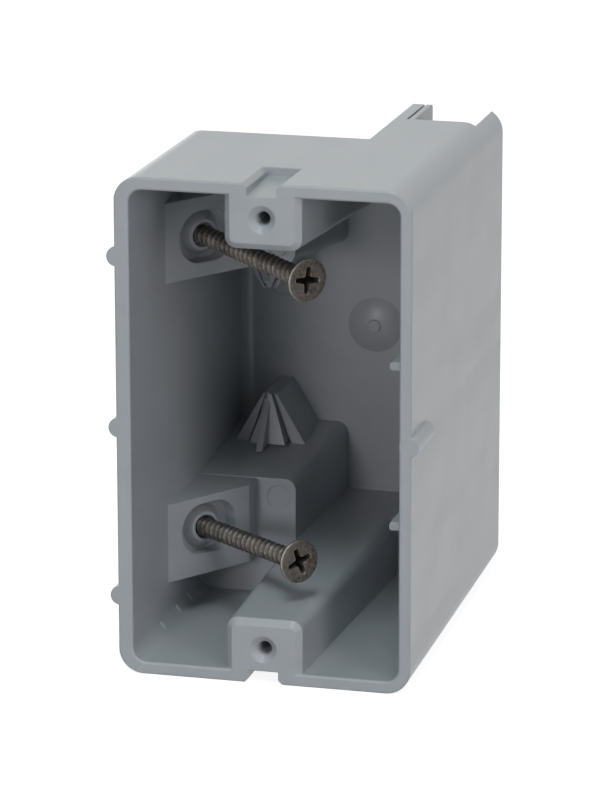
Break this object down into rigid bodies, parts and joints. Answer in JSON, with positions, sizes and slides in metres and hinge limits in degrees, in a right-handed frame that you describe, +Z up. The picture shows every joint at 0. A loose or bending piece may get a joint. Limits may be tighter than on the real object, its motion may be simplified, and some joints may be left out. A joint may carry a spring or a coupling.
{
  "type": "electrical device box",
  "caption": "Grey moulded single-gang device box with captive angled mounting screws, device bosses, and rear cable notches with flap clamps.",
  "frame": {"origin": "midway between the two device screw holes, on the plane of the front rim", "axes": "+X from the stud side to the free side, +Y from the front rim into the box, +Z up along the line of the device holes"},
  "size_m": [0.06, 0.0826, 0.0968],
  "materials": {
    "grey_pvc": "moulded satin",
    "phosphate_steel": "dark phosphate coating"
  },
  "bodies": {
    "box": {"box_body": "grey_pvc"},
    "upper_screw": {"upper_mounting_screw": "phosphate_steel"},
    "lower_screw": {"lower_mounting_screw": "phosphate_steel"}
  },
  "joints": [
    {"name": "upper_screw_drive", "type": "slide", "parent": "box", "child": "upper_screw", "axis": [-0.7433, 0.6674, 0.0462], "range_m": [0, 0.0336]},
    {"name": "lower_screw_drive", "type": "slide", "parent": "box", "child": "lower_screw", "axis": [-0.7433, 0.6674, -0.0462], "range_m": [0, 0.0307]}
  ]
}
